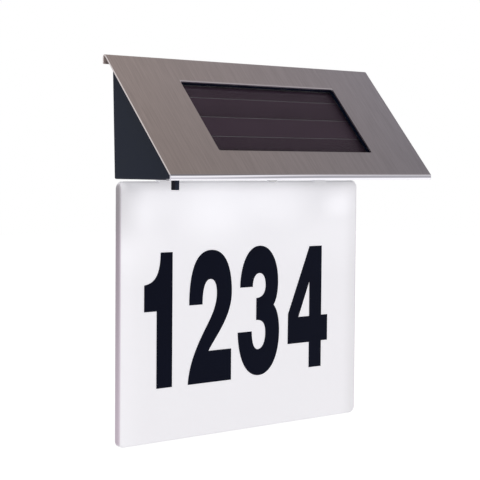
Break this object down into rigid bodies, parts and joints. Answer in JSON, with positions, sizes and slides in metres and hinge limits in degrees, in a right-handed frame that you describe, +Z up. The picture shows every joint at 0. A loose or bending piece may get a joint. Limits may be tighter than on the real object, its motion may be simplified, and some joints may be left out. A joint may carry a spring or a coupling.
{
  "type": "solar house number light",
  "caption": "Wall light with a sloping steel roof over a black housing with a solar window, and a milky number plate hanging below that is lit from its upper edge.",
  "frame": {"origin": "on the wall's face, midway between the two wall screws' seats", "axes": "+X to the right along the wall as seen from the front, +Y into the wall, +Z up"},
  "size_m": [0.2, 0.0542, 0.2056],
  "materials": {
    "brushed_steel": "brushed along the slope, satin, cool grey",
    "black_moulding": "fine moulded texture, satin black",
    "knob_black": "smooth satin black",
    "milky_acrylic": "opal, glossy, lights up from its upper edge",
    "black_vinyl": "thin satin black film",
    "clear_glass": "clear, polished",
    "solar_film": "dark purple-brown film in strips",
    "panel_coat": "dark coat behind the cells",
    "black_foam": "closed-cell foam",
    "black_silicone": "soft, matt",
    "bright_screw": "plain bright steel",
    "green_board": "green solder mask",
    "chip_black": "matt resin",
    "copper_coil": "wound coil in lacquer",
    "bright_can": "plain drawn can",
    "switch_case": "tinned sheet case",
    "lamp_epoxy": "clear resin",
    "cell_sleeve": "shrunk sleeve on a metal can",
    "nickel_contact": "nickel plated spring steel",
    "wire_sleeve": "soft wire insulation"
  },
  "bodies": {
    "sign": {"roof_sheet": "brushed_steel", "roof_tape": "black_foam", "housing": "black_moulding", "back_cover": "black_moulding", "back_gasket": "black_silicone", "back_cover_screws": "bright_screw", "light_panel": "milky_acrylic", "panel_screws": "bright_screw", "digit_1": "black_vinyl", "digit_2": "black_vinyl", "digit_3": "black_vinyl", "digit_4": "black_vinyl", "solar_glass": "clear_glass", "solar_cells": "solar_film", "solar_backing": "panel_coat", "solar_gasket": "black_foam", "solar_retainer": "black_moulding", "retainer_screws": "bright_screw", "circuit_board": "green_board", "board_screws": "bright_screw", "driver_chip": "chip_black", "choke_coil": "copper_coil", "capacitor": "bright_can", "switch_body": "switch_case", "led_board": "green_board", "leds": "lamp_epoxy", "led_board_screws": "bright_screw", "battery_cell": "cell_sleeve", "battery_contact": "nickel_contact", "battery_spring": "nickel_contact", "battery_door": "black_moulding", "battery_door_screw": "bright_screw", "solar_leads": "wire_sleeve", "battery_leads": "wire_sleeve", "led_leads": "wire_sleeve"},
    "switch_knob": {"switch_knob": "knob_black"}
  },
  "joints": [
    {"name": "switch_slide", "type": "slide", "parent": "sign", "child": "switch_knob", "axis": [1, 0, 0], "range_m": [0, 0.002]}
  ]
}
